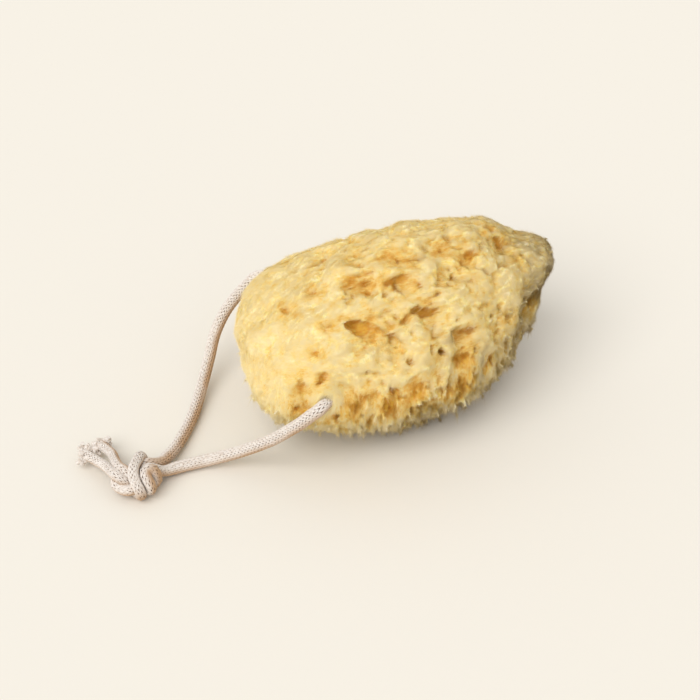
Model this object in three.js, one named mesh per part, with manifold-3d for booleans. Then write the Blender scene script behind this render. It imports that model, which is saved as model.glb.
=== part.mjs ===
// A trimmed bath sponge, grown in one piece and cut flat where it stood on its rock, with a round
// cotton cord drawn through one end. The cord's two ends are tied together in an overhand knot
// and its cut tips have opened into short frayed tufts.
// Millimetres, +Z up. X runs along the sponge, Z = 0 is its flat cut, and the origin is the
// middle of the sponge's own box at that height.
import * as THREE from "three";
import { ImprovedNoise } from "three/addons/math/ImprovedNoise.js";
import { mergeVertices } from "three/addons/utils/BufferGeometryUtils.js";
import Module from "manifold-3d";

const wasm = await Module();
wasm.setup();

// Driving dimensions
const spongeLength = 138;
const spongeWidth = 84;
const spongeHeight = 74;
const cordDiameter = 5;
const tailDiameter = 4;
const gap = 0.3; // between pieces that touch
const channelRoom = 0.8; // between the cord and the wall of its tunnel
const surfaceDetail = 17; // subdivisions of the icosahedron that the sponge is shaped from

const at = (x, y, z) => new THREE.Vector3(x, y, z);
const radians = THREE.MathUtils.degToRad;

// ---- Sponge --------------------------------------------------------------------------------

// The places and half-sizes of the swellings that the sponge grew as, before they are scaled
// to the driving dimensions.
const swellings = [
  { centre: at(-4, 0, 37), size: at(46, 37, 36) }, // body
  { centre: at(-38, 8, 42), size: at(31, 35, 17) }, // blunt end
  { centre: at(-44, -10, 29), size: at(22, 14, 14) }, // its lower front corner
  { centre: at(-10, 2, 25), size: at(37, 26, 20) }, // foot
  { centre: at(28, 6, 37), size: at(28, 27, 26) }, // shoulder that overhangs the foot
  { centre: at(49, 8, 50), size: at(22, 13, 9) }, // beak
];
const heart = at(0, 0, 38); // the surface is star-shaped about this point
const blendWidth = 7; // how softly the swellings run together
const farthest = 120; // no part of the surface lies this far from the heart
const halvings = 30; // of that distance, when looking for the surface

// Oscula and folds: longitude and latitude about the heart in degrees, half-width, half-height
// and depth in mm, and the turn of the oval's long axis from level in degrees.
const pits = [
  [-145, 1, 6, 5, 6, -25], // where the cord comes out at the front
  [138, 3, 6, 6, 6, 0], // where it comes out at the back
  [-132, 23, 12, 5, 6, -20],
  [-128, 58, 7, 3.5, 4, 14],
  [-159, 50, 7, 3.5, 3.5, 45],
  [-98, 38, 8, 5, 4, -16],
  [-51, 58, 7, 4, 3.5, -60],
  [-29, 53, 4, 4, 3.5, 0],
  [-3, 32, 5, 4, 3.5, 70],
  [-79, 22, 5, 3.5, 3.5, 0],
  [-83, 8, 4.5, 3.5, 3, 0],
  [-136, -8, 4, 8, 4.5, -15],
  [-155, 0, 5, 4.5, 3, 0],
  [-100, -20, 4, 9, 3, 0],
  [-60, -8, 4, 9, 3, 10],
  [-20, 5, 7, 4, 3.5, 20],
  [25, 10, 5, 5, 4, 0],
  [62, 28, 8, 4, 4, 15],
  [85, 0, 5, 8, 4, 0],
  [108, 32, 9, 4.5, 4.5, -10],
  [120, -12, 5, 8, 3.5, 10],
  [172, 14, 5, 4, 3, 0],
];

const noise = new ImprovedNoise();
const lumps = [
  { size: 19, height: 2.2 },
  { size: 9, height: 1.2 },
];

function outsideBy(point) {
  let sum = 0;
  for (const { centre, size } of swellings) {
    const from = point.clone().sub(centre).divide(size);
    const away = (from.length() - 1) * Math.min(size.x, size.y, size.z);
    sum += Math.exp(-away / blendWidth);
  }
  return -blendWidth * Math.log(sum);
}

function smoothRadius(direction) {
  let near = 0;
  let far = farthest;
  for (let i = 0; i < halvings; i++) {
    const middle = (near + far) / 2;
    const point = heart.clone().addScaledVector(direction, middle);
    if (outsideBy(point) > 0) far = middle;
    else near = middle;
  }
  return near;
}

function directionOf(longitude, latitude) {
  const [lon, lat] = [radians(longitude), radians(latitude)];
  return at(Math.cos(lat) * Math.cos(lon), Math.cos(lat) * Math.sin(lon), Math.sin(lat));
}

// How far the surface is pressed in by the pits at a point, whose direction from the heart is given.
function pitDepth(direction, radius) {
  const nearby = Math.cos(radians(45));
  let depth = 0;
  for (const [longitude, latitude, halfWidth, halfHeight, deep, turn] of pits) {
    const centre = directionOf(longitude, latitude);
    if (direction.dot(centre) < nearby) continue;
    const level = at(-centre.y, centre.x, 0).normalize();
    const upright = centre.clone().cross(level);
    const offset = direction.clone().sub(centre).multiplyScalar(radius);
    const [across, along] = [offset.dot(level), offset.dot(upright)];
    const [c, s] = [Math.cos(radians(turn)), Math.sin(radians(turn))];
    const u = (across * c + along * s) / halfWidth;
    const v = (along * c - across * s) / halfHeight;
    depth = Math.max(depth, deep * Math.exp(-((u * u + v * v) ** 1.5)));
  }
  return depth;
}

function lumpHeight(point) {
  let height = 0;
  for (const lump of lumps) {
    const p = point.clone().divideScalar(lump.size);
    height += lump.height * noise.noise(p.x, p.y, p.z);
  }
  return height;
}

function spongeSolid(cordChannel) {
  const geometry = new THREE.IcosahedronGeometry(1, surfaceDetail);
  geometry.deleteAttribute("normal");
  geometry.deleteAttribute("uv");
  const merged = mergeVertices(geometry);
  const position = merged.attributes.position;
  for (let i = 0; i < position.count; i++) {
    const direction = new THREE.Vector3().fromBufferAttribute(position, i).normalize();
    const radius = smoothRadius(direction);
    const smooth = heart.clone().addScaledVector(direction, radius);
    const relief = lumpHeight(smooth) - pitDepth(direction, radius);
    const point = smooth.addScaledVector(direction, relief);
    position.setXYZ(i, point.x, point.y, point.z);
  }
  fitToSize(merged);
  const rock = new THREE.BoxGeometry(4 * spongeLength, 4 * spongeWidth, 2 * spongeHeight);
  rock.translate(0, 0, -spongeHeight);
  return solidOf(merged).subtract(solidOf(rock)).subtract(cordChannel);
}

// Scales the grown shape to the driving length, width and height, centred over the origin.
function fitToSize(geometry) {
  geometry.computeBoundingBox();
  const { min, max } = geometry.boundingBox;
  geometry.translate(-(min.x + max.x) / 2, -(min.y + max.y) / 2, 0);
  geometry.scale(
    spongeLength / (max.x - min.x),
    spongeWidth / (max.y - min.y),
    spongeHeight / max.z,
  );
}

// ---- Cord ----------------------------------------------------------------------------------

const frontMouth = at(-46.8, -31.5, 36.9);
const backMouth = at(-41, 37, 40.5);
const frontRoute = [
  at(-51.4, -35.2, 36.4),
  at(-55, -34.2, 33.3),
  at(-58.2, -32.1, 29),
  at(-61.1, -29.1, 24.5),
  at(-65.5, -25.5, 19),
  at(-69.9, -21.9, 14.5),
  at(-74.4, -18.3, 10.5),
  at(-78.7, -15.5, 7.6),
  at(-83.9, -12.6, 5),
  at(-89.2, -10.6, 3.4),
  at(-99, -9.4, 3),
  at(-107.3, -12, 4),
];
const backRoute = [
  at(-41.8, 42.5, 40.9),
  at(-45.1, 45, 39.6),
  at(-48.5, 45.4, 37),
  at(-51.8, 45.9, 33.5),
  at(-58.1, 46.2, 26),
  at(-63.9, 44.7, 17),
  at(-69.1, 38.8, 10),
  at(-75.8, 29.5, 5.2),
  at(-83.6, 17.9, 3),
  at(-92.8, 6.3, 2.8),
  at(-101.7, -2.9, 4),
  at(-107.2, -6, 7.2),
];
const tails = [
  { name: "tail_back", route: [at(-118, -8.5, 9), at(-121, 2.6, 7), at(-123.6, 11.8, 5.4)], turn: 12 },
  { name: "tail_front", route: [at(-125, -7.5, 7), at(-128.1, 1.4, 6), at(-131.9, 8.2, 5)], turn: 70 },
];
const knotCentre = at(-117, -12.5, 7);
const knotHalfSize = at(10.5, 9.5, 6.8);
const knotTurn = -25; // of its long way from X, in degrees
const tuftHalfSize = at(4, 2.2, 3);
const tubeSides = 8;
const tubeStep = 5; // length of one step along a tube

const tunnelAxis = backMouth.clone().sub(frontMouth).normalize();
const tunnelMiddle = frontMouth.clone().lerp(backMouth, 0.5);

function tube(points, diameter, sides = tubeSides) {
  const route = new THREE.CatmullRomCurve3(points, false, "centripetal");
  const ring = Array.from({ length: sides }, (_, i) => {
    const angle = (2 * Math.PI * i) / sides;
    return new THREE.Vector2(Math.cos(angle), Math.sin(angle)).multiplyScalar(diameter / 2);
  });
  const steps = Math.max(2, Math.round(route.getLength() / tubeStep));
  const options = { steps, bevelEnabled: false, extrudePath: route };
  return solidOf(new THREE.ExtrudeGeometry(new THREE.Shape(ring), options));
}

function knotSolid(grow) {
  const lump = new THREE.SphereGeometry(1, 20, 14);
  lump.scale(knotHalfSize.x + grow, knotHalfSize.y + grow, knotHalfSize.z + grow);
  lump.rotateZ(radians(knotTurn));
  lump.translate(knotCentre.x, knotCentre.y, knotCentre.z);
  return solidOf(lump);
}

// One tail: the cord from the knot, and the frayed tuft that its end has opened into, whose long
// way is turned from X.
function tailSolid({ route, turn }) {
  const tip = route.at(-1);
  const tuft = new THREE.SphereGeometry(1, 12, 8);
  tuft.scale(tuftHalfSize.x, tuftHalfSize.y, tuftHalfSize.z);
  tuft.rotateZ(radians(turn));
  tuft.translate(tip.x, tip.y, tip.z);
  return tube(route, tailDiameter).add(solidOf(tuft));
}

// ---- Solids and meshes -----------------------------------------------------------------------

function solidOf(geometry) {
  const bare = geometry.clone();
  for (const name of Object.keys(bare.attributes)) {
    if (name !== "position") bare.deleteAttribute(name);
  }
  const merged = mergeVertices(bare, 1e-4);
  return new wasm.Manifold(
    new wasm.Mesh({
      numProp: 3,
      vertProperties: merged.attributes.position.array,
      triVerts: new Uint32Array(merged.index.array),
    }),
  );
}

function meshOf(name, solid, material) {
  const { vertProperties, triVerts } = solid.getMesh();
  const geometry = new THREE.BufferGeometry();
  geometry.setAttribute("position", new THREE.BufferAttribute(vertProperties, 3));
  geometry.setIndex(new THREE.BufferAttribute(triVerts, 1));
  geometry.computeVertexNormals();
  const mesh = new THREE.Mesh(geometry, material);
  mesh.name = name;
  return mesh;
}

const spongin = new THREE.MeshStandardMaterial({ color: "#e9cd8a", roughness: 0.95, metalness: 0 });
const cotton = new THREE.MeshStandardMaterial({ color: "#ece2d6", roughness: 0.9, metalness: 0 });

const frontStart = tunnelMiddle.clone().addScaledVector(tunnelAxis, -gap / 2);
const backStart = tunnelMiddle.clone().addScaledVector(tunnelAxis, gap / 2);
const wholeLoop = [...frontRoute.toReversed(), frontMouth, tunnelMiddle, backMouth, ...backRoute];
const channelSides = 10;
const channel = tube(wholeLoop, cordDiameter + 2 * channelRoom, channelSides);
const nearKnot = knotSolid(gap);

const frontCord = tube([frontStart, frontMouth, ...frontRoute], cordDiameter);
const backCord = tube([backStart, backMouth, ...backRoute], cordDiameter);

const part = new THREE.Group();
part.add(meshOf("sponge", spongeSolid(channel), spongin));
part.add(meshOf("cord_front", frontCord.subtract(nearKnot), cotton));
part.add(meshOf("cord_back", backCord.subtract(nearKnot), cotton));
part.add(meshOf("knot", knotSolid(0), cotton));
for (const tail of tails) {
  part.add(meshOf(tail.name, tailSolid(tail).subtract(nearKnot), cotton));
}

export default part;
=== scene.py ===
import math
import random

import bmesh
import bpy
import numpy as np
from mathutils import Matrix, Vector
from mathutils.bvhtree import BVHTree


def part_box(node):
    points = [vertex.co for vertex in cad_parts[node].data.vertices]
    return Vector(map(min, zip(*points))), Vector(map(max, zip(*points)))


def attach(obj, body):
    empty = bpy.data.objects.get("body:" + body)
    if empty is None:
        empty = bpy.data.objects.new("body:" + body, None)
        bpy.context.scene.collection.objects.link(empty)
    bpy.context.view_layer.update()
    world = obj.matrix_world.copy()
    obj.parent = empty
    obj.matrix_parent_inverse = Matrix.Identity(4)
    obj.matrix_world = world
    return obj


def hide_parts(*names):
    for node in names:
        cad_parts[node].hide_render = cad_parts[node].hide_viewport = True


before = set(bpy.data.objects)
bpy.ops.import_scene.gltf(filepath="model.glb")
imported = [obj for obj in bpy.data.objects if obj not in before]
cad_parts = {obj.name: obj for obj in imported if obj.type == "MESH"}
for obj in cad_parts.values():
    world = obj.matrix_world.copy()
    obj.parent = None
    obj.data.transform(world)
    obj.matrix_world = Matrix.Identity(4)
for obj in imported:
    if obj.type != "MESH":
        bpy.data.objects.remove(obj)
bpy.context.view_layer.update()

# A natural bath sponge with a knitted cotton cord drawn through its blunt end.
# Sizes in the dictionaries are in millimetres unless a note says otherwise.

scene = bpy.context.scene


def mm(x, y, z):
    return Vector((x, y, z)) / 1000


def linear(red, green, blue):
    # a colour as it is seen on a screen, 0 to 255, as the linear values that a shader takes
    def one(value):
        value /= 255
        return value / 12.92 if value <= 0.04045 else ((value + 0.055) / 1.055) ** 2.4

    return (one(red), one(green), one(blue), 1)


def newObject(name, mesh):
    thing = bpy.data.objects.new(name, mesh)
    scene.collection.objects.link(thing)
    return thing


def objectFromBmesh(name, shape, smooth=True):
    mesh = bpy.data.meshes.new(name)
    shape.to_mesh(mesh)
    shape.free()
    mesh.polygons.foreach_set("use_smooth", [smooth] * len(mesh.polygons))
    return newObject(name, mesh)


def applied(host, name=None):
    # the object with its modifiers applied, as a plain mesh
    bpy.context.view_layer.update()
    graph = bpy.context.evaluated_depsgraph_get()
    mesh = bpy.data.meshes.new_from_object(host.evaluated_get(graph), depsgraph=graph)
    name = name or host.name
    bpy.data.objects.remove(host)
    mesh.materials.clear()
    mesh.polygons.foreach_set("use_smooth", [True] * len(mesh.polygons))
    return newObject(name, mesh)


view = {
    "eye": mm(-225.5, -453.5, 445),
    "target": mm(-19.5, 9.2, 20),
    "lens": 85,
    "sensor": 36,
}


def makeCamera():
    data = bpy.data.cameras.new("camera")
    data.lens, data.sensor_width = view["lens"], view["sensor"]
    data.clip_start, data.clip_end = 0.01, 20
    camera = newObject("camera", data)
    camera.location = view["eye"]
    camera.rotation_mode = "QUATERNION"
    camera.rotation_quaternion = (view["target"] - view["eye"]).to_track_quat("-Z", "Y")
    scene.camera = camera


makeCamera()
print("camera placed")


class Graph:
    # a short way to write nodes: an input given as a socket is linked, any other is set
    def __init__(self, tree):
        self.tree = tree

    def add(self, kind, inputs=(), **settings):
        node = self.tree.nodes.new(kind)
        for name, value in settings.items():
            setattr(node, name, value)
        pairs = inputs.items() if isinstance(inputs, dict) else enumerate(inputs)
        for key, value in pairs:
            if isinstance(value, bpy.types.NodeSocket):
                self.tree.links.new(value, node.inputs[key])
            elif value is not None:
                node.inputs[key].default_value = value
        return node

    def maths(self, operation, *inputs, clamp=False):
        node = self.add("ShaderNodeMath", inputs, operation=operation, use_clamp=clamp)
        return node.outputs[0]

    def vector(self, operation, *inputs):
        node = self.add("ShaderNodeVectorMath", inputs, operation=operation)
        isNumber = operation in ("DOT_PRODUCT", "LENGTH", "DISTANCE")
        return node.outputs["Value" if isNumber else "Vector"]

    def scaled(self, vector, factor):
        node = self.add("ShaderNodeVectorMath", {0: vector, 3: factor}, operation="SCALE")
        return node.outputs["Vector"]

    def smooth(self, value, low, high, start=0.0, end=1.0):
        inputs = {"Value": value, "From Min": low, "From Max": high, "To Min": start, "To Max": end}
        node = self.add("ShaderNodeMapRange", inputs, interpolation_type="SMOOTHSTEP")
        return node.outputs["Result"]

    def noise(self, vector, size, detail=2.0, roughness=0.5, distortion=0.0):
        inputs = {
            "Vector": vector,
            "Scale": 1 / size,
            "Detail": detail,
            "Roughness": roughness,
            "Distortion": distortion,
        }
        return self.add("ShaderNodeTexNoise", inputs)

    def sum(self, *values):
        total = values[0]
        for value in values[1:]:
            total = self.maths("ADD", total, value)
        return total


# The cord, in mm: its two mouths in the sponge and the points of its strands from there to the
# knot.
cord = {
    "diameter": 5,
    "knotRadius": 2.15,
    "tailRadius": 2,
    "wales": 8,  # columns of stitches round it
    "row": 1.75,
    "step": 0.9,  # between the points of its finished route
    "channelPoints": 90,  # of each finished route, which the sponge makes room for
    "grip": 0.4,  # how far the sponge presses into it
    "core": 0.82,  # of its width
    "exit": 6,  # how far inside its mouth it is taken to leave the sponge
    "frontMouth": (-46.8, -31.5, 36.9),
    "backMouth": (-41, 37, 40.5),
    "front": [
        (-51.4, -35.2, 36.4),
        (-55, -34.2, 33.3),
        (-58.2, -32.1, 29),
        (-61.1, -29.1, 24.5),
        (-65.5, -25.5, 19),
        (-69.9, -21.9, 14.5),
        (-74.4, -18.3, 10.5),
        (-78.7, -15.5, 7.6),
        (-83.9, -12.6, 5),
        (-89.2, -10.6, 3.4),
        (-99, -9.4, 3),
        (-107.3, -12, 4),
    ],
    "back": [
        (-41.8, 42.5, 40.9),
        (-45.1, 45, 39.6),
        (-48.5, 45.4, 37),
        (-51.8, 45.9, 33.5),
        (-58.1, 46.2, 26),
        (-63.9, 44.7, 17),
        (-69.1, 38.8, 10),
        (-75.8, 29.5, 5.2),
        (-83.6, 17.9, 3),
        (-92.8, 6.3, 2.8),
        (-101.7, -2.9, 4),
        (-107.2, -6, 7.2),
    ],
}


def smoothRoute(points, step=1.0):
    # one smooth line through the points, in steps of about step mm (centripetal Catmull-Rom)
    points = [Vector(p) for p in points]
    points = [2 * points[0] - points[1], *points, 2 * points[-1] - points[-2]]
    route = []
    for a, b, c, d in zip(points, points[1:], points[2:], points[3:]):
        ta = 0
        tb = ta + math.sqrt((b - a).length)
        tc = tb + math.sqrt((c - b).length)
        td = tc + math.sqrt((d - c).length)
        count = max(2, round((c - b).length / step))
        for i in range(count):
            t = tb + (tc - tb) * i / count
            ab = a.lerp(b, (t - ta) / (tb - ta))
            bc = b.lerp(c, (t - tb) / (tc - tb))
            cd = c.lerp(d, (t - tc) / (td - tc))
            abc = ab.lerp(bc, (t - ta) / (tc - ta))
            bcd = bc.lerp(cd, (t - tb) / (td - tb))
            route.append(abc.lerp(bcd, (t - tb) / (tc - tb)))
    route.append(points[-2])
    return route


# The knot, in its own frame: x along the knot, y up across its face, z out of its face.
# Each strand's points run from the cord to the tail.
knot = {
    "centre": (-119, -11.8, 7.2),
    "turn": -24,
    "tilt": 50,
    "size": (0.95, 0.86, 1),
    "strand": 3.3,  # how far apart the middles of two strands lie where they press on each other
    "rounds": 45,  # of pressing the strands apart
    "settled": 15,  # points this near the centre are moved
    "pressing": 20,  # points this near it press on others
    "along": 5,  # points of one strand this many steps apart or fewer don't press on each other
    "pressed": (13, 19),  # the cord is thin up to the first distance from the centre, whole past the second
    "tailsFrom": (-118, -8),  # the tails lie left of this x and beyond this y
    "front": [
        (6.4, 0.4, -3.6),
        (1.5, 0, -2.8),
        (-3.5, 0.6, -3.2),
        (-7, -0.2, -2.8),
        (-7.6, -2.4, -0.4),
        (-5.6, -4.8, 1.4),
        (-2.4, -5.9, 1.6),
        (1, -5.6, 0),
        (4.6, -4.4, -2.4),
        (7, -1.6, -4.4),
        (6.6, 2, -5.2),
        (4.2, 5, -4.2),
        (1.8, 6.2, -1.2),
        (0.3, 5.2, 2.4),
        (0.4, 2.4, 4.6),
        (1.4, -1.4, 5),
        (3, -4.8, 3.8),
        (4.2, -6.6, 0.6),
        (3.4, -6.2, -2.6),
        (1, -3.6, -3.4),
        (-0.8, -2.6, 0),
        (-2.6, -1.4, 2.2),
        (-6.2, 0.4, 1.8),
    ],
    "back": [
        (5.6, 3.2, -4.4),
        (1, 3, -4),
        (-3, 2.6, -4.6),
        (-5.4, 0.2, -4.6),
        (-5, -2.8, -2.6),
        (-2.4, -4.6, -2),
        (1.6, -4.4, -3.2),
        (5.8, -2.8, -4.6),
        (8.8, -0.6, -3.6),
        (8.8, 2.6, -2.4),
        (6.6, 4.8, -0.4),
        (4.7, 4, 2.2),
        (5, 1.2, 3.8),
        (6.4, -2.2, 3.2),
        (7, -4.6, 0.6),
        (5.8, -4.8, -3),
        (3.2, -2, -3),
        (1.6, 0.8, 0.4),
        (-0.6, 2.2, 1.8),
        (-3.4, 3.2, 1.2),
        (-6, 4.6, -0.6),
    ],
    "frontTail": [(-125.2, -3.6, 7), (-128, 4, 5.6), (-131, 11, 4.4)],
    "backTail": [(-121.6, 3.6, 6.6), (-123.9, 13, 5)],
    "frontSpread": (0.3, 0.9, 0.2),  # which way the frayed tips spread
    "backSpread": (0.95, 0.2, 0.2),
}


def knotPlace(point):
    turn = Matrix.Rotation(math.radians(knot["turn"]), 3, "Z")
    tilt = Matrix.Rotation(math.radians(knot["tilt"]), 3, "X")
    return Vector(knot["centre"]) + turn @ tilt @ (Vector(point) * Vector(knot["size"]))


def evenRoute(route, step):
    # the same line in equal steps, as an array
    places = np.array([tuple(p) for p in route])
    along = np.concatenate([[0], np.cumsum(np.linalg.norm(np.diff(places, axis=0), axis=1))])
    marks = np.linspace(0, along[-1], round(along[-1] / step) + 1)
    return np.stack([np.interp(marks, along, places[:, axis]) for axis in range(3)], 1)


def settleKnot(routes):
    # press the strands apart where they would share a place, and lift them off the ground
    count = [len(route) for route in routes]
    places = np.concatenate(routes)
    strand = np.repeat([0, 1], count)
    order = np.concatenate([np.arange(n) for n in count])
    away = np.linalg.norm(places - knot["centre"], axis=1)
    inKnot = away < knot["settled"]
    near = np.flatnonzero(away < knot["pressing"])
    moving = np.flatnonzero(inKnot)
    same = strand[near][:, None] == strand[near][None, :]
    gap = np.abs(order[near][:, None] - order[near][None, :])
    allowed = ~(same & (gap <= knot["along"]))
    free = inKnot[near]
    lowest = cord["knotRadius"] + 0.2
    for _ in range(knot["rounds"]):
        bend = places[moving - 1] + places[moving + 1] - 2 * places[moving]
        places[moving] += 0.2 * bend
        for _ in range(3):
            away = places[near][:, None] - places[near][None, :]
            apart = np.linalg.norm(away, axis=2) + 1e-9
            close = (apart < knot["strand"]) & allowed
            push = np.where(close, (knot["strand"] - apart) / apart / 2, 0)
            share = np.maximum(1, 0.6 * close.sum(1))[:, None]
            move = (away * push[:, :, None]).sum(1) / share
            size = np.linalg.norm(move, axis=1)
            move *= np.minimum(1, 0.3 / np.maximum(size, 1e-9))[:, None]
            places[near[free]] += move[free]
            places[near[free], 2] = np.maximum(places[near[free], 2], lowest)
    return [[Vector(p) for p in part] for part in np.split(places, [count[0]])]


def cordRoute(side):
    # from the middle of the hole through the sponge, through the knot, to the tip of the tail
    outside = [tunnelMiddle, cord[side + "Mouth"], *cord[side][:-1]]
    inside = [knotPlace(p) for p in knot[side]]
    return smoothRoute([*outside, *inside, *knot[side + "Tail"]])


tunnelMiddle = (Vector(cord["frontMouth"]) + Vector(cord["backMouth"])) / 2
evenRoutes = [evenRoute(cordRoute(side), cord["step"]) for side in ("front", "back")]
frontRoute, backRoute = settleKnot(evenRoutes)
print("knot settled")

heart = mm(0, 0, 38)  # hollows are placed by their direction from here

# Hollows in the sponge's skin: longitude and latitude about the heart in degrees, half-width,
# half-height and depth, and the turn of the long way from level in degrees.
hollows = [
    (-126, 61, 5.5, 1.7, 4, 32),
    (-166, 48, 1.6, 1, 3, 71),
    (-157, 52, 2.2, 1.1, 3.5, 62),
    (-134, 77, 7, 1.8, 2.4, 12),
    (-100, 41, 6, 2, 4.5, -10),
    (-140, 29, 9, 3.2, 4.5, 5),
    (-24, 51, 3.4, 1.6, 4, -50),
    (-34, 52, 2, 1.2, 3, -50),
    (-23, 67, 2.4, 1.8, 3, -40),
    (-3, 32, 4, 3.5, 2.4, 0),
    (-72, 21, 4, 1.9, 4.5, 4),
    (-80, 7, 3.6, 1.5, 4.5, -20),
    (-156, 26, 1.4, 1, 3, 0),
    (-153, 16, 1.3, 1.1, 3, 0),
    (-177, 33, 2, 2, 1.4, 40),
    (-177, 23, 4, 2, 1.2, 20),
    (-154, 5, 1.4, 3.4, 2.6, 10),
    (-148, 8, 1.5, 3, 3, -10),
    (-134, -1, 2.4, 2, 5.5, 0),
    (-137, -8, 1.6, 4.4, 4.5, 8),
    (-143, -10, 1.3, 3.6, 3.5, -5),
    (-122, -8, 1.3, 4.4, 4.5, 5),
    (-110, -4, 1.2, 4.4, 4, -4),
    (-154, -5, 2, 1.8, 2, 0),
    (-104, -16, 7, 2.6, 7, 5),
    (-80, -12, 2.2, 5, 6, 10),
    (-20, 5, 4, 2, 3, 20),
    (-12, 27, 2.2, 1.1, 2.5, 30),
    (8, 36, 2.4, 1.2, 2.2, -20),
    (-40, 12, 3.2, 1.3, 3.5, 25),
    (25, 10, 4, 4, 4, 0),
    (62, 28, 7, 2.6, 5, 15),
    (85, 0, 3, 6, 5, 0),
    (108, 32, 8, 3, 5, -10),
    (120, -12, 3, 6, 4, 10),
]

sponge = {
    "voxel": 0.86,
    "inset": -0.2,  # how far the body's skin lies inside the CAD solid
    # places where the skin comes out further, or less far: middle, reach and height
    "swells": [
        (cord["frontMouth"], 9, 3.5),
        (cord["backMouth"], 9, 3.5),
        ((62, 11, 62), 24, -5),
    ],
    "ragged": 5,  # how uneven the walls of the hollows are
    "crumb": 3000,  # a loose bit with fewer points than this is thrown away
}

# The relief that the skin is carved with: how large each pattern is and how deep it goes.
relief = {
    "bend": {"size": 15, "depth": 11},  # how far the patterns wander
    "along": {"size": 5, "edge": 0.54},  # pits on top, drawn out along the sponge
    "upright": {"size": 3.6, "edge": 0.485},  # pits on the flanks
    "pits": 3.0,
    "folds": {"size": 12, "depth": 1.4},
    "grain": {"size": 2.8, "depth": 1.9},
    "pores": {"size": 6, "depth": 3.6},
}


def triangles(piece):
    return sum(len(face.vertices) - 2 for face in piece.data.polygons)


def mergedCad(name):
    # a welded copy of a CAD solid, for measuring from
    shape = bmesh.new()
    shape.from_mesh(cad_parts[name].data)
    bmesh.ops.remove_doubles(shape, verts=shape.verts, dist=1e-6)
    return objectFromBmesh(name + "_guide", shape)


def skinPoint(tree, longitude, latitude):
    # where a direction from the heart meets the skin, and the way the skin faces there
    lon, lat = math.radians(longitude), math.radians(latitude)
    way = Vector((math.cos(lat) * math.cos(lon), math.cos(lat) * math.sin(lon), math.sin(lat)))
    point, normal, _, _ = tree.ray_cast(heart + way * 0.2, -way)
    return point, normal, way


def makeHollows(guide):
    # one blob for each hollow, sunk in the skin, for cutting the body with
    tree = BVHTree.FromObject(guide, bpy.context.evaluated_depsgraph_get())
    shape = bmesh.new()
    for longitude, latitude, halfWidth, halfHeight, depth, turn in hollows:
        point, _, way = skinPoint(tree, longitude, latitude)
        level = Vector((-way.y, way.x, 0)).normalized()
        upright = way.cross(level)
        axes = Matrix((level, upright, way)).transposed().to_4x4()
        size = Matrix.Diagonal((halfWidth / 1000, halfHeight / 1000, depth / 1100, 1))
        place = Matrix.Translation(point) @ axes @ Matrix.Rotation(math.radians(turn), 4, "Z") @ size
        bmesh.ops.create_icosphere(shape, subdivisions=3, radius=1, matrix=place)
    return objectFromBmesh("hollow_cutters", shape)


def lineAlong(name, route, factors):
    # a curve along a route given in mm
    curve = bpy.data.curves.new(name, "CURVE")
    curve.dimensions = "3D"
    spline = curve.splines.new("POLY")
    spline.points.add(len(route) - 1)
    for point, place, factor in zip(spline.points, route, factors):
        point.co = (*(place / 1000), 1)
        point.radius = factor
    return curve


def tubeAlong(name, route, radius, factors=None):
    # a round tube along a route given in mm, with closed ends
    curve = lineAlong(name, route, factors or [1] * len(route))
    curve.bevel_depth, curve.bevel_resolution, curve.use_fill_caps = radius / 1000, 2, True
    return applied(newObject(name, curve), name)


def signedDistance(g, thing, place):
    # mm outside a closed mesh, negative inside, then the mesh's nearest point, in metres, and its normal
    shape = g.add("GeometryNodeObjectInfo", {"Object": thing}).outputs["Geometry"]
    near = {"Geometry": shape, "Sample Position": place}
    near = g.add("GeometryNodeProximity", near, target_element="FACES")
    normal = g.add("GeometryNodeInputNormal").outputs[0]
    sample = g.add(
        "GeometryNodeSampleNearestSurface",
        {"Mesh": shape, "Value": normal, "Sample Position": place},
        data_type="FLOAT_VECTOR",
    )
    away = g.vector("SUBTRACT", place, near.outputs["Position"])
    side = g.maths("SIGN", g.vector("DOT_PRODUCT", away, sample.outputs["Value"]))
    distance = g.maths("MULTIPLY", near.outputs["Distance"], 1000.0)
    return g.maths("MULTIPLY", distance, side), near.outputs["Position"], sample.outputs["Value"]


def newGeometryTree(name):
    tree = bpy.data.node_groups.new(name, "GeometryNodeTree")
    tree.interface.new_socket("Geometry", in_out="OUTPUT", socket_type="NodeSocketGeometry")
    return Graph(tree)


def built(g, name, geometry):
    # the piece that a geometry tree makes
    g.add("NodeGroupOutput", [geometry])
    host = newObject(name, bpy.data.meshes.new(name))
    host.modifiers.new("grow", "NODES").node_group = g.tree
    return applied(host)


def addSpike(shape, point, normal, width, length, chance):
    # a small blunt cone, rooted 2 mm inside the skin
    lean = Vector([chance.uniform(-0.3, 0.3) for _ in range(3)])
    turn = (normal + lean).to_track_quat("Z", "Y").to_matrix().to_4x4()
    place = Matrix.Translation(point) @ turn @ Matrix.Translation((0, 0, length / 2000 - 0.002))
    sizes = {"radius1": width / 1000, "radius2": width / 2000, "depth": length / 1000}
    bmesh.ops.create_cone(shape, cap_ends=True, segments=8, matrix=place, **sizes)


# Rows of small points round the underside of the rim. A row runs where the skin faces down by
# so much: 0 is sideways and -1 straight down.
teethRows = {
    "facings": (-0.72, -0.55, -0.38),
    "jitter": 0.08,  # in how far down the skin faces
    "spacing": 3.2,
    "width": 0.9,
    "length": (3.4, 5),
    "seed": 11,
}

# Points scattered over the pointed end, between these longitudes and latitudes about the heart.
bristles = {
    "count": 260,
    "longitude": (-62, 70),
    "latitude": (-32, 24),
    "width": 0.6,
    "length": (3, 4.4),
    "seed": 12,
}


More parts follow.
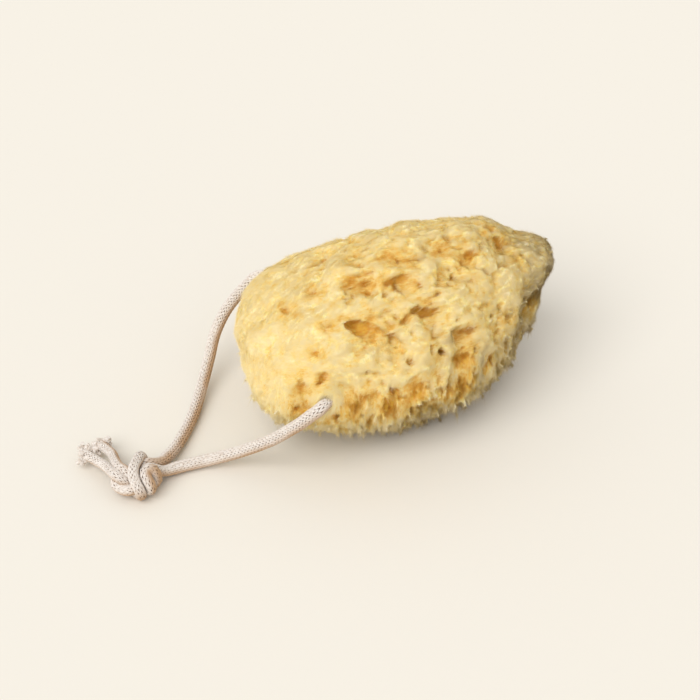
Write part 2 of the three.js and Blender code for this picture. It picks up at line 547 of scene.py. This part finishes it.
def addTeeth(shape, tree):
    chance = random.Random(teethRows["seed"])
    jitter = teethRows["jitter"]
    for facing in teethRows["facings"]:
        longitude = -180
        while longitude < 180:
            latitude = -5
            point, normal, _ = skinPoint(tree, longitude, latitude)
            limit = facing + chance.uniform(-jitter, jitter)
            while normal.z > limit and latitude > -60:
                latitude -= 1
                point, normal, _ = skinPoint(tree, longitude, latitude)
            width = teethRows["width"] * chance.uniform(0.8, 1.3)
            addSpike(shape, point, normal, width, chance.uniform(*teethRows["length"]), chance)
            reach = 1000 * (point - heart).xy.length
            longitude += math.degrees(teethRows["spacing"] * chance.uniform(0.8, 1.3) / reach)


def addBristles(shape, tree):
    chance = random.Random(bristles["seed"])
    for _ in range(bristles["count"]):
        longitude = chance.uniform(*bristles["longitude"])
        latitude = chance.uniform(*bristles["latitude"])
        point, normal, _ = skinPoint(tree, longitude, latitude)
        addSpike(shape, point, normal, bristles["width"], chance.uniform(*bristles["length"]), chance)


def makeTeeth(guide):
    tree = BVHTree.FromObject(guide, bpy.context.evaluated_depsgraph_get())
    shape = bmesh.new()
    addTeeth(shape, tree)
    addBristles(shape, tree)
    return objectFromBmesh("teeth", shape)


def swelling(g, p):
    # how much further out the skin comes, in mm
    parts = []
    for middle, reach, height in sponge["swells"]:
        parts.append(g.smooth(g.vector("DISTANCE", p, middle), reach, 1.0, 0.0, height))
    return g.sum(*parts)


def storeFloat(g, geometry, name, value, domain="POINT"):
    inputs = {0: geometry, "Name": name, "Value": value}
    node = g.add("GeometryNodeStoreNamedAttribute", inputs, domain=domain, data_type="FLOAT")
    return node.outputs[0]


def carveRelief(g, p, q):
    # how deep the skin is carved at p, whose nearest point on the CAD skin is q, both in mm
    x, _, z = g.add("ShaderNodeSeparateXYZ", [q]).outputs
    bend = g.noise(q, relief["bend"]["size"], detail=2).outputs["Color"]
    bend = g.scaled(g.vector("SUBTRACT", bend, (0.5, 0.5, 0.5)), relief["bend"]["depth"])
    mixed = g.vector("ADD", g.scaled(g.vector("ADD", q, bend), 0.75), g.scaled(p, 0.25))
    # finer at both ends
    coarse = g.maths("MULTIPLY", g.smooth(x, -50, -22, 0.2, 1.0), g.smooth(x, 25, 50, 1.0, 0.8))
    flank = g.smooth(z, 50, 32)  # 0 on top, 1 on the lower flanks
    # pits, drawn out along the sponge on top and upright on the flanks
    along, upright = relief["along"], relief["upright"]
    flat = g.vector("MULTIPLY", mixed, (0.5, 1, 1))
    flat = g.noise(flat, along["size"], detail=3, roughness=0.65).outputs[0]
    steep = g.vector("MULTIPLY", mixed, (1, 1, 0.25))
    steep = g.noise(steep, upright["size"], detail=3, roughness=0.6).outputs[0]
    pits = g.add("ShaderNodeMix", {0: flank, 2: flat, 3: steep}).outputs[0]
    edge = g.add("ShaderNodeMix", {0: flank, 2: along["edge"], 3: upright["edge"]}).outputs[0]
    pits = g.smooth(g.maths("SUBTRACT", pits, edge), 0.0, 0.12, 0.0, relief["pits"])
    # broad folds, with most of the pits in the valleys between them
    folds = relief["folds"]
    valley = g.smooth(g.noise(mixed, folds["size"], detail=2).outputs[0], 0.4, 0.6)
    pits = g.maths("MULTIPLY", pits, g.maths("MULTIPLY_ADD", valley, 0.65, 0.35))
    pits = g.maths("MULTIPLY", pits, g.maths("MULTIPLY_ADD", flank, 0.5, 1.0))
    lumps = g.maths("MULTIPLY", valley, folds["depth"])
    grain = g.noise(mixed, relief["grain"]["size"], detail=3, roughness=0.6).outputs[0]
    grain = g.maths("MULTIPLY", g.maths("SUBTRACT", grain, 0.5), -relief["grain"]["depth"])
    pores = relief["pores"]
    cells = g.add("ShaderNodeTexVoronoi", {"Vector": mixed, "Scale": 1 / pores["size"]}, feature="F1")
    away = g.maths("MULTIPLY", cells.outputs["Distance"], pores["size"])
    holes = g.smooth(away, 0.5, 1.6, pores["depth"], 0.0)
    return g.maths("MULTIPLY", g.sum(pits, lumps, grain, holes), coarse), bend


def cutBody(g, field, place, p, helpers, bend):
    # take the hollows and the cord's way out of the body, add its teeth, and end it at the ground
    _, cutters, channel, teeth = helpers
    cut, *_ = signedDistance(g, cutters, place)
    ragged = g.maths("SUBTRACT", g.noise(p, 3, detail=4, roughness=0.65).outputs[0], 0.5)
    cut = g.sum(cut, g.maths("MULTIPLY", ragged, sponge["ragged"]))
    field = g.maths("SMOOTH_MAX", field, g.maths("MULTIPLY", cut, -1.0), 1.0)
    tooth, *_ = signedDistance(g, teeth, g.vector("ADD", place, g.scaled(bend, 0.0001)))
    field = g.maths("SMOOTH_MIN", field, tooth, 1.2)
    bore, *_ = signedDistance(g, channel, place)
    field = g.maths("SMOOTH_MAX", field, g.maths("MULTIPLY", bore, -1.0), 0.3)
    ground = g.add("ShaderNodeSeparateXYZ", [p]).outputs[2]
    return g.maths("MAXIMUM", field, g.maths("MULTIPLY", ground, -1.0))


def meshFromField(g, field):
    low, high = (Vector(corner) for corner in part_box("sponge"))
    low, high = low - mm(2, 2, 2), high + mm(2, 2, 2)
    steps = [round(1000 * (b - a) / sponge["voxel"]) for a, b in zip(low, high)]
    inputs = {"Density": g.maths("MULTIPLY", field, -1.0), "Background": -1.0, "Min": low, "Max": high}
    for axis, count in zip("XYZ", steps):
        inputs["Resolution " + axis] = count
    grid = g.add("GeometryNodeVolumeCube", inputs)
    mesh = g.add("GeometryNodeVolumeToMesh", {"Volume": grid.outputs[0], "Threshold": 0.0})
    # throw away the crumbs that came loose
    island = g.add("GeometryNodeInputMeshIsland").outputs["Island Index"]
    count = g.add("GeometryNodeAccumulateField", {"Value": 1.0, "Group ID": island})
    small = [count.outputs["Total"], float(sponge["crumb"])]
    small = g.add("FunctionNodeCompare", small, operation="LESS_THAN").outputs[0]
    return g.add("GeometryNodeDeleteGeometry", {"Geometry": mesh.outputs[0], "Selection": small}).outputs[0]


def markSkin(g, mesh, guide, cutters):
    # what the colours need to know: depth below the skin and hollowness, which deepen the colour in the
    # pits, and which way it faces, for painted shade on the side away from the light
    place = g.add("GeometryNodeInputPosition").outputs[0]
    skin, _, facing = signedDistance(g, guide, place)
    cut, *_ = signedDistance(g, cutters, place)
    # painted shade, partly the sponge's own deeper tone: the skin is coloured deeper round the hollows
    halo = g.smooth(cut, 5.0, 0.5, 0.0, 2.2)  # the skin is darker round the hollows too
    above = g.sum(halo, swelling(g, g.scaled(place, 1000.0)))
    depth = g.maths("SUBTRACT", above, g.maths("ADD", skin, sponge["inset"]))
    mesh = storeFloat(g, mesh, "depth", depth)
    # how hollow the skin is, which deepens its colour in the recesses as painted shade
    blurred = {"Value": place, "Iterations": 24}
    blurred = g.add("GeometryNodeBlurAttribute", blurred, data_type="FLOAT_VECTOR").outputs[0]
    normal = g.add("GeometryNodeInputNormal").outputs[0]
    hollow = g.vector("DOT_PRODUCT", g.vector("SUBTRACT", blurred, place), normal)
    mesh = storeFloat(g, mesh, "hollow", g.maths("MULTIPLY", hollow, 1000.0))
    # painted shade: it is browner where it faces right and down, away from the light
    turned = g.smooth(g.vector("DOT_PRODUCT", facing, (0.76, -0.3, -0.58)), 0.2, 0.95)
    return storeFloat(g, mesh, "turned", turned)


def growBody(helpers):
    guide, cutters, _, _ = helpers
    g = newGeometryTree("grow the sponge")
    place = g.add("GeometryNodeInputPosition").outputs[0]
    skin, nearest, _ = signedDistance(g, guide, place)
    p = g.scaled(place, 1000.0)
    carved, bend = carveRelief(g, p, g.scaled(nearest, 1000.0))
    field = g.sum(skin, sponge["inset"], carved)
    field = g.maths("SUBTRACT", field, swelling(g, p))
    field = cutBody(g, field, place, p, helpers, bend)
    return built(g, "sponge_body", markSkin(g, meshFromField(g, field), guide, cutters))


# Fibres, in layers: how many, their lengths and width in mm, how far they stand up from the
# skin, how much their ways differ, and how much of the skin is left bare between their strands.
fibres = {
    "down": {
        "count": 190000, "length": (0.7, 1.6), "width": 0.16,
        "lift": 0.4, "stray": 0.5, "gaps": 0.2, "seed": 3,
    },
    "fuzz": {
        "count": 255000, "length": (0.8, 1.9), "width": 0.14,
        "lift": 0.4, "stray": 0.45, "gaps": 0.42, "seed": 4,
    },
    "felt": {
        "count": 330000, "length": (1.2, 2.6), "width": 0.14,
        "lift": 0.12, "stray": 0.25, "gaps": 0.47, "seed": 5,
    },
    "wool": {
        "count": 330000, "length": (1.6, 3.4), "width": 0.15,
        "lift": 0.1, "stray": 0.2, "gaps": 0.5, "seed": 6,
    },
    "locks": {
        "count": 200000, "length": (3, 6.5), "width": 0.16,
        "lift": 0.05, "stray": 0.16, "gaps": 0.56, "seed": 7,
    },
}


def makeBlade(name, width):
    # one flat fibre 1 long, standing on the origin and facing along X
    shape = bmesh.new()
    bmesh.ops.create_circle(shape, cap_ends=True, segments=3, radius=1)
    low = min(vert.co.y for vert in shape.verts)
    bmesh.ops.translate(shape, verts=shape.verts, vec=(0, -low, 0))
    across = max(vert.co.x for vert in shape.verts) * 2
    tall = max(vert.co.y for vert in shape.verts)
    bmesh.ops.scale(shape, verts=shape.verts, vec=(width / across, 1 / tall, 1))
    upright = Matrix(((0, 0, 1), (1, 0, 0), (0, 1, 0)))
    bmesh.ops.transform(shape, matrix=upright.to_4x4(), verts=shape.verts)
    return objectFromBmesh(name, shape, smooth=False)


def bareSkin(g, p, flank, channel, gaps):
    # where no fibre grows: in the cord's way, between the strands and mostly in the pits
    clear, *_ = signedDistance(g, channel, g.add("GeometryNodeInputPosition").outputs[0])
    near = g.add("FunctionNodeCompare", [clear, 0.3], operation="LESS_THAN").outputs[0]
    along = g.noise(g.vector("MULTIPLY", p, (0.3, 1, 1)), 1.0, detail=2).outputs[0]
    upright = g.noise(g.vector("MULTIPLY", p, (1, 1, 0.2)), 1.2, detail=2).outputs[0]
    strand = g.add("ShaderNodeMix", {0: flank, 2: along, 3: upright}).outputs[0]
    depth = g.add("GeometryNodeInputNamedAttribute", {"Name": "depth"}, data_type="FLOAT").outputs[0]
    shallow = g.maths("MULTIPLY_ADD", flank, -0.6, 3.5)
    limit = g.smooth(depth, shallow, g.maths("ADD", shallow, 4.0), gaps, 0.6)
    z = g.add("ShaderNodeSeparateXYZ", [p]).outputs[2]
    limit = g.sum(limit, g.smooth(z, 46, 30, 0.0, 0.03))
    bare = g.add("FunctionNodeCompare", [strand, limit], operation="LESS_THAN").outputs[0]
    return g.add("FunctionNodeBooleanMath", [near, bare], operation="OR").outputs[0]


def combed(g, p, flank, normal, values):
    # how each fibre is turned: it lies along the sponge on top and hangs down on its flanks
    comb = {0: flank, 4: (-1.4, -0.2, 0), 5: (-0.3, 0, -2)}
    comb = g.add("ShaderNodeMix", comb, data_type="VECTOR").outputs[1]
    flow = g.noise(p, 9, detail=2).outputs["Color"]
    flow = g.scaled(g.vector("SUBTRACT", flow, (0.5, 0.5, 0.5)), 6.0)
    flow = g.vector("ADD", comb, flow)
    # keep only the part of the flow that lies in the skin
    into = g.vector("DOT_PRODUCT", flow, normal)
    flow = g.vector("SUBTRACT", flow, g.scaled(normal, into))
    flow = g.vector("NORMALIZE", flow)
    half = values["stray"]
    own = {"Min": (-half, -half, -half), "Max": (half, half, half), "Seed": 5}
    own = g.add("FunctionNodeRandomValue", own, data_type="FLOAT_VECTOR").outputs[0]
    way = g.vector("ADD", g.vector("ADD", g.scaled(normal, values["lift"]), flow), own)
    turn = g.add("FunctionNodeAlignRotationToVector", {"Vector": way}, axis="Z").outputs[0]
    # turn the flat side outwards
    turn = {"Rotation": turn, "Vector": normal}
    return g.add("FunctionNodeAlignRotationToVector", turn, axis="X", pivot_axis="Z").outputs[0]


def growFibres(name, body, channel, values):
    shortest, longest = values["length"]
    blade = makeBlade(name + "_blade", values["width"] / longest)
    g = newGeometryTree(name)
    skin = g.add("GeometryNodeObjectInfo", {"Object": body}).outputs["Geometry"]
    area = sum(face.area for face in body.data.polygons)
    points = {"Mesh": skin, "Density": values["count"] / area, "Seed": values["seed"]}
    points = g.add("GeometryNodeDistributePointsOnFaces", points)
    p = g.scaled(g.add("GeometryNodeInputPosition").outputs[0], 1000.0)
    flank = g.smooth(g.add("ShaderNodeSeparateXYZ", [p]).outputs[2], 52, 32)
    bare = bareSkin(g, p, flank, channel, values["gaps"])
    kept = {"Geometry": points.outputs["Points"], "Selection": bare}
    kept = g.add("GeometryNodeDeleteGeometry", kept, domain="POINT").outputs[0]
    turn = combed(g, p, flank, points.outputs["Normal"], values)
    size = {2: shortest / 1000, 3: longest / 1000, "Seed": 7}
    size = g.add("FunctionNodeRandomValue", size, data_type="FLOAT").outputs[1]
    blades = g.add("GeometryNodeObjectInfo", {"Object": blade}).outputs["Geometry"]
    many = {"Points": kept, "Instance": blades, "Rotation": turn, "Scale": size}
    many = g.add("GeometryNodeInstanceOnPoints", many).outputs[0]
    shade = g.add("FunctionNodeRandomValue", {2: -1.0, 3: 1.0, "Seed": 9}, data_type="FLOAT").outputs[1]
    many = storeFloat(g, many, "shade", shade, domain="INSTANCE")
    real = g.add("GeometryNodeRealizeInstances", [many]).outputs[0]
    # none goes into the ground
    above = g.vector("MAXIMUM", g.add("GeometryNodeInputPosition").outputs[0], (-1, -1, 0.0001))
    real = g.add("GeometryNodeSetPosition", {"Geometry": real, "Position": above}).outputs[0]
    made = built(g, name, real)
    bpy.data.objects.remove(blade)
    return made


spongeColours = {
    "ridge": (254, 242, 201),
    "middle": (255, 235, 158),
    "pit": (235, 188, 84),
    # the brown of the painted shade underneath, at the pointed end and on the side away from the light
    "low": (124, 90, 44),
}


# How much each thing deepens the sponge's colour: the hollowness as painted shade in the recesses; the
# patches, streaks and strands as its own uneven tone.
deepened = {"hollow": 1.6, "patches": 11, "streaks": 8, "strands": 0.9}


def makeTint():
    # the sponge's colour, paler where it stands out and deeper in the pits, partly its own deeper amber and
    # partly painted shade and the painted glow of light scattered in the hollows
    tree = bpy.data.node_groups.new("sponge tint", "ShaderNodeTree")
    for name in ("Depth", "Hollow", "Shade", "Turned"):
        tree.interface.new_socket(name, in_out="INPUT", socket_type="NodeSocketFloat")
    tree.interface.new_socket("Place", in_out="INPUT", socket_type="NodeSocketVector")
    tree.interface.new_socket("Color", in_out="OUTPUT", socket_type="NodeSocketColor")
    g = Graph(tree)
    depth, hollow, shade, turned, place, *_ = g.add("NodeGroupInput").outputs
    p = g.scaled(place, 1000.0)
    patches = g.maths("SUBTRACT", g.noise(p, 3.4, detail=4, roughness=0.65).outputs[0], 0.5)
    patches = g.maths("MULTIPLY", patches, deepened["patches"])
    # fine streaks, along the sponge on top and upright below
    flank = g.smooth(g.add("ShaderNodeSeparateXYZ", [p]).outputs[2], 52, 34)
    stretch = {0: flank, 4: (0.35, 1, 1), 5: (1, 1, 0.25)}
    stretch = g.add("ShaderNodeMix", stretch, data_type="VECTOR").outputs[1]
    streaks = g.noise(g.vector("MULTIPLY", p, stretch), 1.2, detail=3, roughness=0.6).outputs[0]
    streaks = g.maths("MULTIPLY", g.maths("SUBTRACT", streaks, 0.5), deepened["streaks"])
    strands = g.maths("MULTIPLY", shade, deepened["strands"])
    depth = g.maths("MULTIPLY", depth, g.maths("MULTIPLY_ADD", flank, 0.5, 1.0))
    hollow = g.maths("MULTIPLY", hollow, deepened["hollow"])
    amount = g.sum(depth, hollow, patches, streaks, strands)
    ramp = g.add("ShaderNodeValToRGB", [g.smooth(amount, -1.0, 7.5)])
    stops = ramp.color_ramp.elements
    stops[0].position, stops[0].color = 0.0, linear(*spongeColours["ridge"])
    stops[1].position, stops[1].color = 1.0, linear(*spongeColours["pit"])
    stops.new(0.42).color = linear(*spongeColours["middle"])
    # painted shade: browner underneath and where it faces right and down, away from the light; browner
    # towards the pointed end, partly painted shade and partly the sponge's own tan
    x, _, z = g.add("ShaderNodeSeparateXYZ", [p]).outputs
    under = g.maths("MULTIPLY", g.smooth(z, 33, 8, 0.0, 0.85), g.smooth(x, -40, 25, 0.4, 1.0))
    edge = g.sum(g.smooth(x, 20, 72, 0.0, 0.3), g.maths("MULTIPLY", turned, 0.6))
    edge = g.maths("MINIMUM", g.maths("MAXIMUM", edge, under), 0.66)
    uneven = g.smooth(g.noise(p, 7, detail=2).outputs[0], 0.25, 0.7, 0.5, 1.15)
    edge = g.maths("MULTIPLY", edge, uneven, clamp=True)
    tint = {0: edge, 6: ramp.outputs[0], 7: linear(*spongeColours["low"])}
    tint = g.add("ShaderNodeMix", tint, data_type="RGBA")
    g.add("NodeGroupOutput", [tint.outputs[2]])
    return tree


def tinted(g, tint, offset=0.0):
    # the tint at each place, and the place in mm; the offset is added to the depth
    place = g.add("ShaderNodeTexCoord").outputs["Object"]
    group = g.add("ShaderNodeGroup", node_tree=tint)
    for name in ("Depth", "Hollow", "Shade", "Turned"):
        value = g.add("ShaderNodeAttribute", attribute_name=name.lower()).outputs["Fac"]
        value = g.maths("ADD", value, offset) if name == "Depth" else value
        g.tree.links.new(value, group.inputs[name])
    g.tree.links.new(place, group.inputs["Place"])
    return group.outputs[0], g.scaled(place, 1000.0)


def newMaterial(name):
    material = bpy.data.materials.new(name)
    material.use_nodes = True
    return material, material.node_tree.nodes["Principled BSDF"], Graph(material.node_tree)


def makeFlesh(tint):
    material, shader, g = newMaterial("sponge flesh")
    colour, p = tinted(g, tint, 2.0)
    fine = g.noise(g.vector("MULTIPLY", p, (1, 1, 0.5)), 1.4, detail=3, roughness=0.7).outputs[0]
    bump = g.add("ShaderNodeBump", {"Height": fine, "Strength": 0.8, "Distance": 0.0012}).outputs[0]
    g.tree.links.new(colour, shader.inputs["Base Color"])
    g.tree.links.new(bump, shader.inputs["Normal"])
    shader.inputs["Roughness"].default_value = 0.9
    shader.inputs["Specular IOR Level"].default_value = 0.1
    shader.inputs["Subsurface Weight"].default_value = 0.5
    shader.inputs["Subsurface Radius"].default_value = (1.0, 0.8, 0.4)
    shader.inputs["Subsurface Scale"].default_value = 0.004
    return material


def makeFibre(tint):
    material, shader, g = newMaterial("sponge fibre")
    colour, _ = tinted(g, tint)
    g.tree.links.new(colour, shader.inputs["Base Color"])
    shader.inputs["Roughness"].default_value = 0.8
    shader.inputs["Specular IOR Level"].default_value = 0.1
    through = g.add("ShaderNodeBsdfTranslucent", [colour]).outputs[0]
    both = g.add("ShaderNodeMixShader", {0: 0.38, 1: shader.outputs[0], 2: through}).outputs[0]
    g.tree.links.new(both, g.tree.nodes["Material Output"].inputs["Surface"])
    return material


guide = mergedCad("sponge")
cutters = makeHollows(guide)
held = cord["channelPoints"]
heldRoute = [*reversed(backRoute[:held]), *frontRoute[1:held]]
channel = tubeAlong("cord_channel", heldRoute, cord["diameter"] / 2 - cord["grip"])
helpers = (guide, cutters, channel, makeTeeth(guide))
body = growBody(helpers)
print("sponge body grown:", triangles(body), "triangles")
tint = makeTint()
flesh, fibre = makeFlesh(tint), makeFibre(tint)
pieces = [body]
for name, values in fibres.items():
    pieces.append(growFibres("sponge_" + name, body, channel, values))
    print(name, triangles(pieces[-1]), "triangles")
for piece in pieces:
    piece.data.materials.append(flesh if piece is body else fibre)
    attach(piece, "root")
    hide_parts("sponge")
for helper in helpers:
    bpy.data.objects.remove(helper)


def cordRadius(place):
    # mm; the cord is pressed thinner in the knot and its tails are thinner still
    away = (place - Vector(knot["centre"])).length
    pressed, whole = knot["pressed"]
    inKnot = min(1, max(0, (whole - away) / (whole - pressed)))
    left, beyond = knot["tailsFrom"]
    if place.x < left and place.y > beyond:
        return cord["tailRadius"]
    return cord["diameter"] / 2 * (1 - inKnot) + cord["knotRadius"] * inKnot


# One leg of a stitch, in mm and degrees. Where the cord bends it is pulled longer, by the pull
# times the curvature, up to so many times its length.
stitch = {
    "width": 0.76,
    "length": 2.7,
    "thickness": 0.8,
    "slant": 20,
    "pull": 2.2,
    "longest": 1.7,
}


def makeRow():
    # one row of stitches round the cord, which runs along Z: a pair of slanted legs for each wale
    shape = bmesh.new()
    radius = cord["diameter"] / 2000
    half = math.pi / cord["wales"]
    for wale in range(cord["wales"]):
        for side in (-1, 1):
            around = Matrix.Rotation(2 * half * wale + side * half * 0.5, 4, "Z")
            out = Matrix.Translation((radius - stitch["thickness"] / 2000, 0, 0))
            slant = Matrix.Rotation(side * math.radians(stitch["slant"]), 4, "X")
            size = Matrix.Diagonal([stitch[key] / 2000 for key in ("thickness", "width", "length")] + [1])
            place = around @ out @ slant @ size
            bmesh.ops.create_uvsphere(shape, u_segments=6, v_segments=5, radius=1, matrix=place)
    return objectFromBmesh("stitch_row", shape)


def pulledAtBends(g):
    # how many times longer the stitches are where the cord bends
    own = g.add("GeometryNodeInputPosition").outputs[0]
    index = g.add("GeometryNodeInputIndex").outputs[0]
    beside = []
    for offset in (-1, 1):
        other = g.add("GeometryNodeFieldAtIndex", data_type="FLOAT_VECTOR")
        g.tree.links.new(g.maths("ADD", index, offset), other.inputs["Index"])
        g.tree.links.new(own, other.inputs["Value"])
        beside.append(g.vector("SUBTRACT", other.outputs[0], own))
    bend = g.vector("LENGTH", g.vector("ADD", *beside))
    pulled = g.maths("MULTIPLY_ADD", bend, 1000 * stitch["pull"] / cord["row"] ** 2, 1.0)
    return g.maths("MINIMUM", pulled, stitch["longest"])


def paintedShadeOn(g, curve, way):
    # painted shade: one side of the cord is browner than the other: the lower side of the front strand and,
    # on the back strand, the side away from the light and towards the sponge, warmed as a painted
    # reflection of it
    place = g.add("GeometryNodeInputPosition").outputs[0]
    thread = g.add("GeometryNodeCurveToMesh", [curve]).outputs[0]
    thread = {"Geometry": thread, "Sample Position": place}
    nearest = g.add("GeometryNodeProximity", thread, target_element="EDGES").outputs["Position"]
    outward = g.vector("NORMALIZE", g.vector("SUBTRACT", place, nearest))
    return g.smooth(g.vector("DOT_PRODUCT", outward, way), -0.3, 0.65)


def knitCord(name, route, shadedWay):
    factors = [cordRadius(p) / (cord["diameter"] / 2) for p in route]
    line = newObject(name + "_line", lineAlong(name + "_line", route, factors))
    core = tubeAlong(name + "_core", route, cord["core"] * cord["diameter"] / 2, factors)
    row = makeRow()
    g = newGeometryTree(name)
    curve = g.add("GeometryNodeObjectInfo", {"Object": line}).outputs["Geometry"]
    points = {"Curve": curve, "Length": cord["row"] / 1000}
    points = g.add("GeometryNodeCurveToPoints", points, mode="LENGTH")
    radius = g.add("GeometryNodeInputRadius").outputs[0]
    size = g.add("ShaderNodeCombineXYZ", [radius, radius, pulledAtBends(g)]).outputs[0]
    many = {
        "Points": points.outputs["Points"],
        "Instance": g.add("GeometryNodeObjectInfo", {"Object": row}).outputs["Geometry"],
        "Rotation": points.outputs["Rotation"],
        "Scale": size,
    }
    many = g.add("GeometryNodeInstanceOnPoints", many).outputs[0]
    real = g.add("GeometryNodeRealizeInstances", [many]).outputs[0]
    # mark the side of the stitches that takes the painted shade
    real = storeFloat(g, real, "stain", paintedShadeOn(g, curve, shadedWay))
    # the core shows between the stitches, coloured dark as the painted shade of the gaps
    middle = g.add("GeometryNodeObjectInfo", {"Object": core}).outputs["Geometry"]
    middle = storeFloat(g, middle, "gap", 1.0)
    both = g.add("GeometryNodeJoinGeometry")
    g.tree.links.new(middle, both.inputs[0])
    g.tree.links.new(real, both.inputs[0])
    made = built(g, name, both.outputs[0])
    for helper in (line, core, row):
        bpy.data.objects.remove(helper)
    return made


tuft = {
    "yarns": 22,
    "yarn": 1.5,  # how thick each is
    "root": 1.5,  # how far back from the tail's tip they start
    "reach": 4.4,
    "steps": 8,
    "spread": 2.4,
    "curl": (0.35, 0.7),
    "seed": 21,
}


def makeTuft(name, tip, way, spread, seed):
    # the frayed end of a tail: short curled yarns that spread both ways from the tip
    chance = random.Random(seed)
    shape = bmesh.new()
    for yarn in range(tuft["yarns"]):
        side = -1 if yarn % 2 else 1
        place = tip - way * tuft["root"] + spread * side * chance.uniform(0, tuft["spread"])
        heading = Vector([chance.uniform(-0.5, 0.5) for _ in range(3)])
        heading = (heading + way * 0.9 + spread * side * chance.uniform(0.3, 1)).normalized()
        curl = Vector([chance.uniform(-1, 1) for _ in range(3)]).normalized()
        curl = curl * chance.uniform(*tuft["curl"])
        route = []
        for _ in range(tuft["steps"] + 1):
            place.z = max(place.z, tuft["yarn"] / 2 + 0.1)
            route.append(place.copy())
            place += heading * tuft["reach"] / tuft["steps"]
            heading = (heading + curl.cross(heading)).normalized()
        part = tubeAlong(name + "_yarn", route, tuft["yarn"] / 2)
        shape.from_mesh(part.data)
        bpy.data.objects.remove(part)
    return objectFromBmesh(name, shape)


cordColours = {
    "yarn": (238, 231, 224),
    "shade": (220, 208, 197),
    # the brown of the painted shade and the sponge's painted reflection on one side of the cord
    "stain": (196, 160, 122),
    # the core, painted dark brown for the shade between the stitches
    "gap": (124, 92, 68),
    # the two ways below are where the side in painted shade faces
    "frontSide": (0.15, -0.3, -0.7),  # which way the brown side faces
    "backSide": (0.9, -0.3, -0.1),
}


def makeCotton():
    material, shader, g = newMaterial("cotton yarn")
    place = g.add("ShaderNodeTexCoord").outputs["Object"]
    p = g.scaled(place, 1000.0)
    # the core is painted dark for the shade between the stitches, and one side of the cord browner as
    # painted shade and reflection
    gap = g.add("ShaderNodeAttribute", attribute_name="gap").outputs["Fac"]
    stain = g.add("ShaderNodeAttribute", attribute_name="stain").outputs["Fac"]
    blotch = g.smooth(g.noise(p, 0.9, detail=2).outputs[0], 0.35, 0.7)
    yarn = {0: blotch, 6: linear(*cordColours["yarn"]), 7: linear(*cordColours["shade"])}
    yarn = g.add("ShaderNodeMix", yarn, data_type="RGBA").outputs[2]
    patches = g.smooth(g.noise(p, 12, detail=2).outputs[0], 0.3, 0.6, 0.6, 0.95)
    yarn = {0: g.maths("MULTIPLY", stain, patches), 6: yarn, 7: linear(*cordColours["stain"])}
    yarn = g.add("ShaderNodeMix", yarn, data_type="RGBA").outputs[2]
    colour = {0: gap, 6: yarn, 7: linear(*cordColours["gap"])}
    colour = g.add("ShaderNodeMix", colour, data_type="RGBA").outputs[2]
    fine = g.noise(p, 0.35, detail=2, roughness=0.6).outputs[0]
    bump = g.add("ShaderNodeBump", {"Height": fine, "Strength": 0.6, "Distance": 0.0002}).outputs[0]
    g.tree.links.new(colour, shader.inputs["Base Color"])
    g.tree.links.new(bump, shader.inputs["Normal"])
    shader.inputs["Roughness"].default_value = 0.85
    shader.inputs["Specular IOR Level"].default_value = 0.15
    return material


def routeLength(route):
    return sum((b - a).length for a, b in zip(route, route[1:]))


cotton = makeCotton()
for side, route in (("front", frontRoute), ("back", backRoute)):
    strand = knitCord("cord_" + side + "_knit", route, Vector(cordColours[side + "Side"]))
    way = (route[-1] - route[-4]).normalized()
    spread = Vector(knot[side + "Spread"])
    end = makeTuft("tuft_" + side, route[-1], way, spread, tuft["seed"] + len(side))
    for piece in (strand, end):
        piece.data.materials.append(cotton)
        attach(piece, "root")
    for node in ("cord_" + side, "knot"):
        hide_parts(node)
    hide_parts("tail_" + side)
    long = round(routeLength(route))
    print("cord", side, long, "mm,", triangles(strand), "and", triangles(end), "triangles")


studio = {
    "paper": (236, 231, 221),
    "air": (1, 0.985, 0.96, 1),
    "airStrength": 0.7,
    "sun": 1.75,
    "softness": 50,  # how wide the sun is, in degrees
    "sunWay": (0.7, 0.42, -0.95),
}


def makeFloor():
    shape = bmesh.new()
    bmesh.ops.create_grid(shape, x_segments=1, y_segments=1, size=3)
    floor = objectFromBmesh("floor", shape, smooth=False)
    material, shader, _ = newMaterial("pale paper")
    shader.inputs["Base Color"].default_value = linear(*studio["paper"])
    shader.inputs["Roughness"].default_value = 0.9
    shader.inputs["Specular IOR Level"].default_value = 0.1
    floor.data.materials.append(material)


def makeLights():
    world = bpy.data.worlds.new("studio")
    scene.world = world
    world.use_nodes = True
    air = world.node_tree.nodes["Background"]
    air.inputs["Color"].default_value = studio["air"]
    air.inputs["Strength"].default_value = studio["airStrength"]
    light = bpy.data.lights.new("key", "SUN")
    light.energy, light.angle = studio["sun"], math.radians(studio["softness"])
    key = newObject("key", light)
    key.rotation_mode = "QUATERNION"
    key.rotation_quaternion = Vector(studio["sunWay"]).to_track_quat("-Z", "Y")
    scene.view_settings.view_transform = "Standard"


makeFloor()
makeLights()
